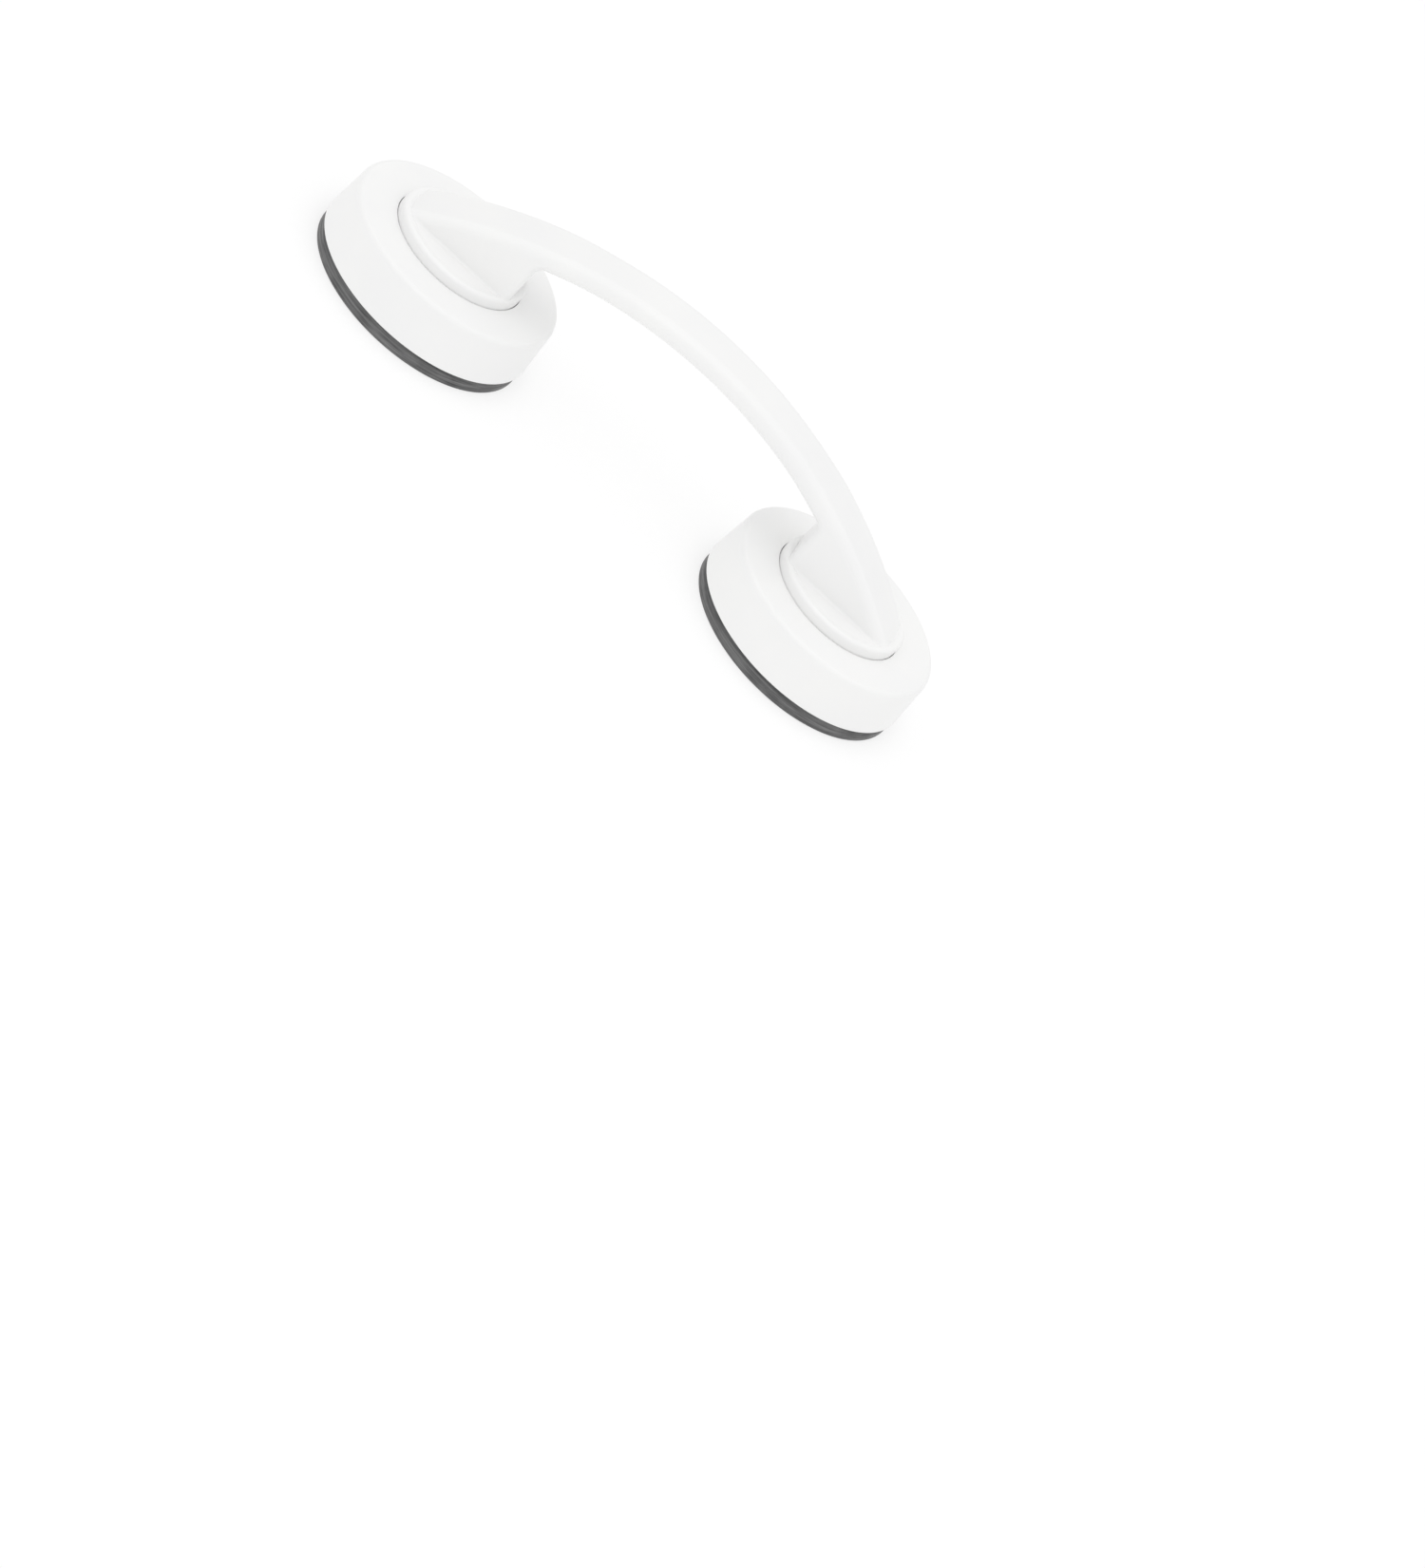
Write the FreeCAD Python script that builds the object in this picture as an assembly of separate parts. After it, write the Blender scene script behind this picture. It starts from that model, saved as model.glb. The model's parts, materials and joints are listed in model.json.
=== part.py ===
"""Suction grab bar with two twist-lock suction cups, in millimetres.

+X runs along the bar from the left cup to the right one, +Z points away from the wall, and the
origin lies on the sealing plane, midway between the cups. Each cup is built once about its own
axis and placed at both ends; the right end is the left end turned half a turn about Z.
"""
import FreeCAD, Part
import math
import os

V = FreeCAD.Vector
UP = V(0, 0, 1)

# Overall layout
CUP_SPACING = 193.5
CUP_X = CUP_SPACING / 2
WALL = 2.4
RUN_FIT = 0.08
SLIP_GAP = 0.05

# Suction pad
PAD_RIM_R = 47.2
PAD_NECK_R = 45.3
PAD_NECK_Z = 5.6
PAD_TOP_Z = 8.9
SEAL_INNER_R = 38.0
MEMBRANE_Z = 1.0
MEMBRANE_T = 2.2
PAD_BOSS_R = 16.0
PAD_BOSS_TOP_Z = 6.3
BOND_GAP = 0.1

# Insert plate moulded into the pad
INSERT_R = 13.0
INSERT_Z = 3.0
INSERT_T = 1.6
RIVET_R = 2.5
RIVET_HEAD_R = 3.4
RIVET_HEAD_T = 0.6

# Twist housing
HOUSING_BOTTOM_Z = 6.0
HOUSING_TOP_Z = 26.5
HOUSING_BOTTOM_R = 48.0
HOUSING_TOP_R = 46.3
HOUSING_SIDE_T = 2.2
HOUSING_TOP_T = 3.0
HOUSING_EDGE_R = 2.0
HOUSING_HOLE_R = 29.3
HOUSING_BOSS_R = 3.3
HOUSING_BOSS_CIRCLE_R = 40.0
HOUSING_BOSS_COUNT = 6

# Slip ring, pressure plate and cam
SLIP_RING_Z = PAD_TOP_Z + SLIP_GAP
SLIP_RING_T = 1.4
SLIP_RING_INNER_R = 37.0
SLIP_RING_OUTER_R = 44.3
PLATE_Z = SLIP_RING_Z + SLIP_RING_T + SLIP_GAP
PLATE_T = 2.6
PLATE_R = 44.6
PLATE_HOLE_R = 7.5
CAM_INNER_R = 10.0 + RUN_FIT
CAM_RAMP_R = 17.0
CAM_OUTER_R = 20.0
CAM_FLOOR_T = 1.6
CAM_STOP_T = 6.6
CAM_SCREW_CIRCLE_R = 15.5
LOCK_ANGLE = 90.0
STEM_LIFT = 3.5

# Hub, which is fixed under the handle's foot
HUB_TUBE_R = 10.0
HUB_FOOT_GAP = 0.3
FLANGE_R = 33.5
FLANGE_T = 2.4
WASHER_INNER_R = 29.4
WASHER_OUTER_R = 33.3
WASHER_T = 1.0
TOWER_R = 8.6
TOWER_TOP_Z = 37.5
TOWER_ROOF_T = 2.0
HUB_SCREW_CIRCLE_R = 21.5

# Stem, cross pin and return spring
STEM_R = 6.0
STEM_TOP_Z = 24.0
GUIDE_R = 2.6
GUIDE_TOP_Z = 30.0
PIN_R = 2.0
PIN_HALF_LENGTH = 15.6
PIN_RIDE_GAP = 0.1
SPRING_R = 4.2
SPRING_WIRE_R = 0.4
SPRING_WIRE_SIDES = 8
SPRING_TURNS = 6

# Handle
FOOT_R = 28.8
FOOT_TOP_Z = 31.0
FOOT_EDGE_R = 1.6
FOOT_DISH = 0.6
ARCH_TOP_Z = 70.9
ARCH_TOP_R = 204.0
GRIP_T = 8.2
GRIP_HALF_W = 13.25
ROOT_HALF_W = 14.25
WIDEN_FROM_X = 50.0
WIDEN_TO_X = 80.0
ROOT_INNER_X = 71.0
ROOT_FILLET_R = 4.0
ROOT_END_R = 28.3
ROOT_CORNER_R = 7.0
TOP_EDGE_R = 4.2
UNDER_EDGE_R = 3.4
COVER_T = 2.2
COVER_HALF_W = 9.0
COVER_HALF_L = 60.0
COVER_GAP = 0.15
COVER_SCREW_X = (18.0, 50.0)

# Screws
SCREW_R = 1.5
SCREW_HEAD_R = 2.8
SCREW_HEAD_T = 1.5
SCREW_BOSS_R = 3.4
PILOT_GAP = 0.04

# Levels worked out from the stack
PLATE_TOP_Z = PLATE_Z + PLATE_T
RAMP_LOW_Z = PLATE_TOP_Z + CAM_FLOOR_T
PIN_Z = RAMP_LOW_Z + PIN_R + PIN_RIDE_GAP
HOUSING_ROOF_Z = HOUSING_TOP_Z - HOUSING_TOP_T
WASHER_Z = HOUSING_ROOF_Z - SLIP_GAP - WASHER_T
FLANGE_TOP_Z = WASHER_Z - SLIP_GAP
FLANGE_Z = FLANGE_TOP_Z - FLANGE_T
HUB_BOTTOM_Z = PLATE_TOP_Z + HUB_FOOT_GAP
SPRING_SEAT_Z = TOWER_TOP_Z - TOWER_ROOF_T
ARCH_CENTRE_Z = ARCH_TOP_Z - ARCH_TOP_R


def disc(radius, low_z, high_z, x=0.0, y=0.0):
    """Upright cylinder between two levels."""
    return Part.makeCylinder(radius, high_z - low_z, V(x, y, low_z), UP)


def ring(inner_r, outer_r, low_z, high_z):
    """Upright tube between two levels."""
    return disc(outer_r, low_z, high_z).cut(disc(inner_r, low_z - 1, high_z + 1))


def lathe(outline):
    """Solid turned about Z from a closed outline of (radius, z) points."""
    points = [V(radius, 0, z) for radius, z in outline]
    face = Part.Face(Part.makePolygon(points + points[:1]))
    return face.revolve(V(0, 0, 0), UP, 360)


def around(circle_r, count, first_deg=0.0):
    """Points evenly spaced on a circle about Z."""
    angles = [math.radians(first_deg + 360.0 * index / count) for index in range(count)]
    return [(circle_r * math.cos(angle), circle_r * math.sin(angle)) for angle in angles]


def screws_from_below(places, head_z, length):
    """Group of countersunk screws, heads at head_z and points upward, as one compound."""
    outline = [
        (0, head_z),
        (SCREW_HEAD_R, head_z),
        (SCREW_R, head_z + SCREW_HEAD_T),
        (SCREW_R, head_z + length - SCREW_R),
        (0, head_z + length),
    ]
    screw = lathe(outline)
    recess = Part.makeBox(3.6, 0.7, 0.8, V(-1.8, -0.35, head_z))
    crossed = recess.fuse(recess.rotated(V(0, 0, 0), UP, 90))
    screw = screw.cut(crossed)
    return Part.makeCompound([screw.translated(V(x, y, 0)) for x, y in places])


def screw_holes(places, head_z, length):
    """Countersunk holes that those screws fit, slightly larger all round."""
    outline = [
        (0, head_z - 1),
        (SCREW_HEAD_R + 0.1, head_z - 1),
        (SCREW_HEAD_R + 0.1, head_z),
        (SCREW_R + PILOT_GAP, head_z + SCREW_HEAD_T + 0.1),
        (SCREW_R + PILOT_GAP, head_z + length + 0.5),
        (0, head_z + length + 0.5),
    ]
    hole = lathe(outline)
    return Part.makeCompound([hole.translated(V(x, y, 0)) for x, y in places])


# ---- Suction pad and its insert -----------------------------------------------------------

def suction_pad():
    """Rubber pad: a sealing rim, a thin membrane and a boss that holds the insert plate."""
    insert_top = INSERT_Z + INSERT_T + BOND_GAP
    head_z = INSERT_Z - RIVET_HEAD_T - BOND_GAP
    return lathe([
        (0, MEMBRANE_Z),
        (SEAL_INNER_R - 5, MEMBRANE_Z),
        (SEAL_INNER_R, 0),
        (PAD_RIM_R, 0),
        (PAD_NECK_R, PAD_NECK_Z),
        (PAD_NECK_R, PAD_TOP_Z),
        (SEAL_INNER_R + 0.5, PAD_TOP_Z),
        (SEAL_INNER_R + 0.5, 5.0),
        (SEAL_INNER_R - 2, MEMBRANE_Z + MEMBRANE_T),
        (PAD_BOSS_R + 2, MEMBRANE_Z + MEMBRANE_T),
        (PAD_BOSS_R, MEMBRANE_Z + MEMBRANE_T + 1),
        (PAD_BOSS_R - 0.8, PAD_BOSS_TOP_Z),
        (STEM_R + 2 * BOND_GAP, PAD_BOSS_TOP_Z),
        (STEM_R + 2 * BOND_GAP, insert_top),
        (INSERT_R + BOND_GAP, insert_top),
        (INSERT_R + BOND_GAP, INSERT_Z - BOND_GAP),
        (RIVET_HEAD_R + BOND_GAP, INSERT_Z - BOND_GAP),
        (RIVET_HEAD_R + BOND_GAP, head_z),
        (0, head_z),
    ])


def insert_plate():
    """Steel disc moulded into the pad's boss, riveted to the stem."""
    plate = disc(INSERT_R, INSERT_Z, INSERT_Z + INSERT_T)
    return plate.cut(disc(RIVET_R + PILOT_GAP, 0, STEM_TOP_Z))


# ---- Lifting parts ------------------------------------------------------------------------

def stem():
    """Turned stem: riveted foot, plain shank with a cross hole, and the spring's guide on top."""
    shoulder_z = INSERT_Z + INSERT_T
    shank = lathe([
        (0, INSERT_Z - RIVET_HEAD_T),
        (RIVET_HEAD_R, INSERT_Z - RIVET_HEAD_T),
        (RIVET_HEAD_R, INSERT_Z),
        (RIVET_R, INSERT_Z),
        (RIVET_R, shoulder_z),
        (STEM_R, shoulder_z),
        (STEM_R, STEM_TOP_Z),
        (GUIDE_R, STEM_TOP_Z),
        (GUIDE_R, GUIDE_TOP_Z - 0.6),
        (GUIDE_R - 0.6, GUIDE_TOP_Z),
        (0, GUIDE_TOP_Z),
    ])
    cross_hole = Part.makeCylinder(PIN_R + 0.02, 4 * STEM_R, V(-2 * STEM_R, 0, PIN_Z), V(1, 0, 0))
    return shank.cut(cross_hole)


def cross_pin():
    """Hardened pin through the stem, whose ends ride on the two cam ramps."""
    pin = Part.makeCylinder(PIN_R, 2 * PIN_HALF_LENGTH, V(-PIN_HALF_LENGTH, 0, PIN_Z), V(1, 0, 0))
    ends = [edge for edge in pin.Edges if edge.Closed]
    return pin.makeChamfer(0.3, ends)


def return_spring():
    """Compression spring between the stem's shoulder and the hub's roof, with flats on its wire."""
    low_z = STEM_TOP_Z + SLIP_GAP + SPRING_WIRE_R
    high_z = SPRING_SEAT_Z - SLIP_GAP - SPRING_WIRE_R
    rise = high_z - low_z
    lines = []
    for index in range(SPRING_WIRE_SIDES):
        angle = 2 * math.pi * index / SPRING_WIRE_SIDES
        line = Part.makeHelix(rise / SPRING_TURNS, rise, SPRING_R + SPRING_WIRE_R * math.cos(angle))
        line.translate(V(0, 0, low_z + SPRING_WIRE_R * math.sin(angle)))
        lines.append(line.Edges[0])
    faces = []
    for index, line in enumerate(lines):
        faces.append(Part.makeRuledSurface(line, lines[(index + 1) % SPRING_WIRE_SIDES]))
    for end in (0, 1):
        points = [line.valueAt(line.ParameterRange[end]) for line in lines]
        faces.append(Part.Face(Part.makePolygon(points + points[:1])))
    skin = Part.makeShell(faces)
    skin.sewShape()
    solid = Part.makeSolid(skin)
    return solid if solid.Volume > 0 else solid.reversed()


# ---- Parts that turn ----------------------------------------------------------------------

def helicoid_block(inner_r, outer_r, from_deg, to_deg, floor_z):
    """Sector whose top face climbs STEM_LIFT in LOCK_ANGLE, level with RAMP_LOW_Z at 0 degrees."""
    pitch = STEM_LIFT * 360.0 / LOCK_ANGLE
    span = to_deg - from_deg
    start_z = RAMP_LOW_Z + STEM_LIFT * from_deg / LOCK_ANGLE
    rise = pitch * span / 360.0
    curves = []
    for radius in (inner_r, outer_r):
        helix = Part.makeHelix(pitch, rise, radius)
        helix.rotate(V(0, 0, 0), UP, from_deg)
        helix.translate(V(0, 0, start_z))
        curves.append(helix.Edges[0])
    top = Part.makeRuledSurface(curves[0], curves[1])
    drop = start_z + rise - floor_z + 5
    block = top.extrude(V(0, 0, -drop))
    under = disc(outer_r + 5, floor_z - drop - 10, floor_z)
    return block.cut(under)


def sector(inner_r, outer_r, low_z, high_z, from_deg, to_deg):
    """Plain sector of a tube."""
    height = high_z - low_z
    wedge = Part.makeCylinder(outer_r, height, V(0, 0, low_z), UP, to_deg - from_deg)
    wedge.rotate(V(0, 0, 0), UP, from_deg)
    return wedge.cut(disc(inner_r, low_z - 1, high_z + 1))


def cam_screw_places():
    """One screw in each of the two stop blocks."""
    return around(CAM_SCREW_CIRCLE_R, 2, 135.0)


def cam_ring():
    """Face cam with two helical ramps and two stop blocks; the pin lies at 0 and 180 degrees."""
    pin_half_deg = math.degrees(math.asin((PIN_R + 0.3) / CAM_INNER_R))
    ramp_end = LOCK_ANGLE + pin_half_deg
    body = ring(CAM_INNER_R, CAM_OUTER_R, PLATE_TOP_Z, RAMP_LOW_Z - 0.7)
    for turn in (0.0, 180.0):
        ramp = helicoid_block(CAM_INNER_R, CAM_RAMP_R, -pin_half_deg, ramp_end, PLATE_TOP_Z)
        ramp.rotate(V(0, 0, 0), UP, turn)
        stop = sector(
            CAM_INNER_R, CAM_OUTER_R, PLATE_TOP_Z, PLATE_TOP_Z + CAM_STOP_T,
            ramp_end + turn, 180.0 - pin_half_deg + turn,
        )
        body = body.fuse([ramp, stop])
    body = body.cut(screw_holes(cam_screw_places(), PLATE_Z, PLATE_T + 4.8))
    return body.removeSplitter()


def cam_screws():
    """Screws through the pressure plate into the cam's stop blocks."""
    return screws_from_below(cam_screw_places(), PLATE_Z, PLATE_T + 4.8)


def plate_screw_places():
    """Screw places on the housing's boss circle."""
    return around(HOUSING_BOSS_CIRCLE_R, HOUSING_BOSS_COUNT, 30.0)


def pressure_plate():
    """Moulded disc screwed into the housing; it carries the cam and presses on the slip ring."""
    plate = ring(PLATE_HOLE_R, PLATE_R, PLATE_Z, PLATE_TOP_Z)
    register = ring(CAM_OUTER_R + 0.1, CAM_OUTER_R + 2, PLATE_TOP_Z - 0.5, PLATE_TOP_Z + 1.6)
    plate = plate.fuse(register)
    plate = plate.cut(screw_holes(plate_screw_places(), PLATE_Z, PLATE_T))
    plate = plate.cut(screw_holes(cam_screw_places(), PLATE_Z, PLATE_T))
    return plate.removeSplitter()


def plate_screws():
    """Screws through the pressure plate into the housing's bosses."""
    return screws_from_below(plate_screw_places(), PLATE_Z, 9.5)


def side_radius(z):
    """Outer radius of the slightly tapered housing at height z."""
    share = (z - HOUSING_BOTTOM_Z) / (HOUSING_TOP_Z - HOUSING_BOTTOM_Z)
    return HOUSING_BOTTOM_R + share * (HOUSING_TOP_R - HOUSING_BOTTOM_R)


def twist_housing():
    """Round cap with a draft, a rounded top edge, a hole for the foot, and bosses inside."""
    outer = lathe([
        (0, HOUSING_BOTTOM_Z),
        (HOUSING_BOTTOM_R, HOUSING_BOTTOM_Z),
        (HOUSING_TOP_R, HOUSING_TOP_Z),
        (0, HOUSING_TOP_Z),
    ])
    rim = [edge for edge in outer.Edges if edge.Closed and edge.BoundBox.ZMin > HOUSING_TOP_Z - 0.1]
    outer = outer.makeFillet(HOUSING_EDGE_R, rim)
    inner = lathe([
        (0, HOUSING_BOTTOM_Z - 1),
        (side_radius(HOUSING_BOTTOM_Z - 1) - HOUSING_SIDE_T, HOUSING_BOTTOM_Z - 1),
        (side_radius(HOUSING_ROOF_Z) - HOUSING_SIDE_T, HOUSING_ROOF_Z),
        (0, HOUSING_ROOF_Z),
    ])
    shell = outer.cut(inner)
    shell = shell.cut(disc(HOUSING_HOLE_R, HOUSING_ROOF_Z - 1, HOUSING_TOP_Z + 1))
    bosses = [
        disc(HOUSING_BOSS_R, PLATE_TOP_Z, HOUSING_ROOF_Z + 0.5, x, y)
        for x, y in plate_screw_places()
    ]
    shell = shell.fuse(bosses)
    shell = shell.cut(screw_holes(plate_screw_places(), PLATE_Z, 9.5))
    return shell.removeSplitter()


def slip_ring():
    """Low-friction ring that lets the housing turn on the pad's rim."""
    return ring(SLIP_RING_INNER_R, SLIP_RING_OUTER_R, SLIP_RING_Z, SLIP_RING_Z + SLIP_RING_T)


# ---- Hub under each foot ------------------------------------------------------------------

def hub_screw_places():
    """Screw places between hub flange and foot."""
    return around(HUB_SCREW_CIRCLE_R, 4, 45.0)


def hub():
    """Flanged tube that guides the stem; its slots keep the cross pin from turning."""
    body = disc(HUB_TUBE_R, HUB_BOTTOM_Z, FLANGE_Z + 1)
    body = body.fuse([
        disc(FLANGE_R, FLANGE_Z, FLANGE_TOP_Z),
        disc(TOWER_R, FLANGE_Z, TOWER_TOP_Z),
    ])
    body = body.cut(disc(STEM_R + RUN_FIT, HUB_BOTTOM_Z - 1, SPRING_SEAT_Z))
    slot_low = PIN_Z - PIN_R - 0.2
    slot_half_l = PIN_HALF_LENGTH + 0.6
    slot_half_w = PIN_R + 0.1
    slot = Part.makeBox(
        2 * slot_half_l, 2 * slot_half_w, FLANGE_TOP_Z + 0.6 - slot_low,
        V(-slot_half_l, -slot_half_w, slot_low),
    )
    body = body.cut(slot)
    body = body.cut(screw_holes(hub_screw_places(), FLANGE_Z, FLANGE_T))
    return body.removeSplitter()


def hub_screws():
    """Screws through the hub's flange into the foot's bosses."""
    return screws_from_below(hub_screw_places(), FLANGE_Z, 7.0)


def thrust_washer():
    """Thin washer between the hub's flange and the housing's roof."""
    return ring(WASHER_INNER_R, WASHER_OUTER_R, WASHER_Z, WASHER_Z + WASHER_T)


# ---- Handle -------------------------------------------------------------------------------

def arc_point(radius, x):
    """Point of an arch circle at this x, on the XZ plane."""
    return V(x, 0, ARCH_CENTRE_Z + math.sqrt(radius ** 2 - x ** 2))


def side_profile(inset, end_x, low_z):
    """Arch seen from the side: top arc, end walls, and an underside that curves into each root."""
    top_r = ARCH_TOP_R - inset
    under_r = ARCH_TOP_R - GRIP_T + inset
    fillet_r = ROOT_FILLET_R + inset
    wall_x = ROOT_INNER_X + inset
    fillet_x = wall_x - fillet_r
    fillet_z = ARCH_CENTRE_Z + math.sqrt((under_r - fillet_r) ** 2 - fillet_x ** 2)
    meet = V(fillet_x, 0, fillet_z - ARCH_CENTRE_Z).multiply(under_r / (under_r - fillet_r))
    meet = meet + V(0, 0, ARCH_CENTRE_Z)
    towards = math.atan2(meet.z - fillet_z, meet.x - fillet_x) / 2
    middle = V(fillet_x + fillet_r * math.cos(towards), 0, fillet_z + fillet_r * math.sin(towards))
    top_end = arc_point(top_r, end_x)
    wall_top = V(wall_x, 0, fillet_z)

    def flip(point):
        return V(-point.x, 0, point.z)

    edges = [
        Part.Arc(flip(top_end), V(0, 0, ARCH_CENTRE_Z + top_r), top_end).toShape(),
        Part.makeLine(top_end, V(end_x, 0, low_z)),
        Part.makeLine(V(end_x, 0, low_z), V(wall_x, 0, low_z)),
        Part.makeLine(V(wall_x, 0, low_z), wall_top),
        Part.Arc(wall_top, middle, meet).toShape(),
        Part.Arc(meet, V(0, 0, ARCH_CENTRE_Z + under_r), flip(meet)).toShape(),
        Part.Arc(flip(meet), flip(middle), flip(wall_top)).toShape(),
        Part.makeLine(flip(wall_top), V(-wall_x, 0, low_z)),
        Part.makeLine(V(-wall_x, 0, low_z), V(-end_x, 0, low_z)),
        Part.makeLine(V(-end_x, 0, low_z), flip(top_end)),
    ]
    return Part.Face(Part.Wire(edges))


def plan_outline(inset):
    """Arch seen from above: a strip that widens towards each root and ends on the foot's circle."""
    grip_y = GRIP_HALF_W - inset
    root_y = ROOT_HALF_W - inset
    end_r = ROOT_END_R - inset
    corner_r = ROOT_CORNER_R - inset
    mid_x = (WIDEN_FROM_X + WIDEN_TO_X) / 2
    corner_y = root_y - corner_r
    corner_x = CUP_X + math.sqrt((end_r - corner_r) ** 2 - corner_y ** 2)
    tip = math.atan2(corner_y, corner_x - CUP_X)
    corner_end = V(CUP_X + end_r * math.cos(tip), end_r * math.sin(tip), 0)
    halfway = (tip + math.pi / 2) / 2
    corner_mid = V(corner_x + corner_r * math.cos(halfway), corner_y + corner_r * math.sin(halfway), 0)

    def place(point, sign_x, sign_y):
        return V(sign_x * point.x, sign_y * point.y, 0)

    edges = []
    for sign_y in (1, -1):
        edges.append(Part.makeLine(V(-WIDEN_FROM_X, sign_y * grip_y, 0), V(WIDEN_FROM_X, sign_y * grip_y, 0)))
        for sign_x in (1, -1):
            poles = [
                V(WIDEN_FROM_X, grip_y, 0), V(mid_x, grip_y, 0),
                V(mid_x, root_y, 0), V(WIDEN_TO_X, root_y, 0),
            ]
            widening = Part.BezierCurve()
            widening.setPoles([place(pole, sign_x, sign_y) for pole in poles])
            edges.append(widening.toShape())
            straight_end = place(V(corner_x, root_y, 0), sign_x, sign_y)
            edges.append(Part.makeLine(place(V(WIDEN_TO_X, root_y, 0), sign_x, sign_y), straight_end))
            edges.append(Part.Arc(
                straight_end, place(corner_mid, sign_x, sign_y), place(corner_end, sign_x, sign_y),
            ).toShape())
    for sign_x in (1, -1):
        edges.append(Part.Arc(
            place(corner_end, sign_x, 1), V(sign_x * (CUP_X + end_r), 0, 0), place(corner_end, sign_x, -1),
        ).toShape())
    return Part.Face(Part.Wire(Part.__sortEdges__(edges)))


def arch(inset, low_z):
    """The bar and its two roots, as a solid, made smaller all round by the inset."""
    side = side_profile(inset, CUP_X + FOOT_R + 5, low_z)
    side.translate(V(0, -2 * FOOT_R, 0))
    plan = plan_outline(inset)
    plan.translate(V(0, 0, low_z - 1))
    return side.extrude(V(0, 4 * FOOT_R, 0)).common(plan.extrude(V(0, 0, 2 * ARCH_TOP_Z)))


def edge_along(edge, solid_top_r):
    """Whether an edge lies on the arch circle of this radius."""
    first, last = edge.ParameterRange
    for share in (0.0, 0.5, 1.0):
        point = edge.valueAt(first + share * (last - first))
        if abs(math.hypot(point.x, point.z - ARCH_CENTRE_Z) - solid_top_r) > 0.01:
            return False
    return True


def rounded_arch(low_z):
    """The outside of the bar with its long edges rounded."""
    solid = arch(0.0, low_z)
    top_edges = [edge for edge in solid.Edges if edge_along(edge, ARCH_TOP_R)]
    solid = solid.makeFillet(TOP_EDGE_R, top_edges)
    under_r = ARCH_TOP_R - GRIP_T
    under_edges = []
    for edge in solid.Edges:
        box = edge.BoundBox
        on_side = abs(abs(edge.CenterOfMass.y) - GRIP_HALF_W) < 1.2 and box.YLength < 1.2
        in_hand_gap = abs(edge.CenterOfMass.x) < ROOT_INNER_X + 0.1 and box.ZMin > low_z - 0.1
        below_top = math.hypot(edge.CenterOfMass.x, edge.CenterOfMass.z - ARCH_CENTRE_Z) < under_r + 0.5
        if on_side and in_hand_gap and below_top:
            under_edges.append(edge)
    return solid.makeFillet(UNDER_EDGE_R, under_edges)


def foot(x):
    """Round foot with a rounded rim and a slightly dished top."""
    edge_mid = FOOT_EDGE_R * (1 - math.sqrt(0.5))
    start = V(FOOT_R, 0, FOOT_TOP_Z - FOOT_EDGE_R)
    middle = V(FOOT_R - edge_mid, 0, FOOT_TOP_Z - edge_mid)
    end = V(FOOT_R - FOOT_EDGE_R, 0, FOOT_TOP_Z)
    dish_rim = V(FOOT_R - 3 * FOOT_EDGE_R, 0, FOOT_TOP_Z - FOOT_DISH)
    dish_centre = V(0, 0, FOOT_TOP_Z - FOOT_DISH)
    edges = [
        Part.makeLine(V(0, 0, FLANGE_TOP_Z), V(FOOT_R, 0, FLANGE_TOP_Z)),
        Part.makeLine(V(FOOT_R, 0, FLANGE_TOP_Z), start),
        Part.Arc(start, middle, end).toShape(),
        Part.makeLine(end, dish_rim),
        Part.makeLine(dish_rim, dish_centre),
        Part.makeLine(dish_centre, V(0, 0, FLANGE_TOP_Z)),
    ]
    solid = Part.Face(Part.Wire(edges)).revolve(V(0, 0, 0), UP, 360)
    return solid.translated(V(x, 0, 0))


def cover_screw_places():
    """Places of the cover's screws along the middle of the bar."""
    return [(sign * x, 0.0) for x in COVER_SCREW_X for sign in (-1, 1)]


def under_z(x):
    """Height of the bar's underside at this x."""
    return ARCH_CENTRE_Z + math.sqrt((ARCH_TOP_R - GRIP_T) ** 2 - x ** 2)


def cover_block(gap):
    """Rounded-end strip, seen from above, that cuts the cover out of the bar's underside."""
    half_w = COVER_HALF_W + gap
    straight = COVER_HALF_L - COVER_HALF_W
    low_z = under_z(COVER_HALF_L) - 5
    high_z = ARCH_TOP_Z
    strip = Part.makeBox(2 * straight, 2 * half_w, high_z - low_z, V(-straight, -half_w, low_z))
    ends = [disc(half_w, low_z, high_z, sign * straight) for sign in (-1, 1)]
    return strip.fuse(ends)


def bar_layer(inset_low, inset_high):
    """Curved slab of the bar between two heights above its underside."""
    low_r = ARCH_TOP_R - GRIP_T + inset_low
    high_r = ARCH_TOP_R - GRIP_T + inset_high
    centre = V(0, 2 * FOOT_R, ARCH_CENTRE_Z)
    outer = Part.makeCylinder(high_r, 4 * FOOT_R, centre, V(0, -1, 0))
    inner = Part.makeCylinder(low_r, 4 * FOOT_R + 2, centre + V(0, 1, 0), V(0, -1, 0))
    upper_half = Part.makeBox(600, 200, 600, V(-300, -100, 0))
    return outer.cut(inner).common(upper_half)


def cover_holes(length):
    """Screw holes of the cover, each started from the underside at its place."""
    holes = []
    for x, y in cover_screw_places():
        holes.append(screw_holes([(x, y)], under_z(x), length))
    return holes


def handle_lower_cover():
    """Strip that closes the underside of the bar, flush with it."""
    cover = cover_block(0.0).common(bar_layer(0.0, COVER_T))
    return cover.cut(cover_holes(COVER_T))


def cover_screws():
    """Screws that hold the cover."""
    groups = []
    for x, y in cover_screw_places():
        groups.extend(screws_from_below([(x, y)], under_z(x), 5.2).Solids)
    return Part.makeCompound(groups)


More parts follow.
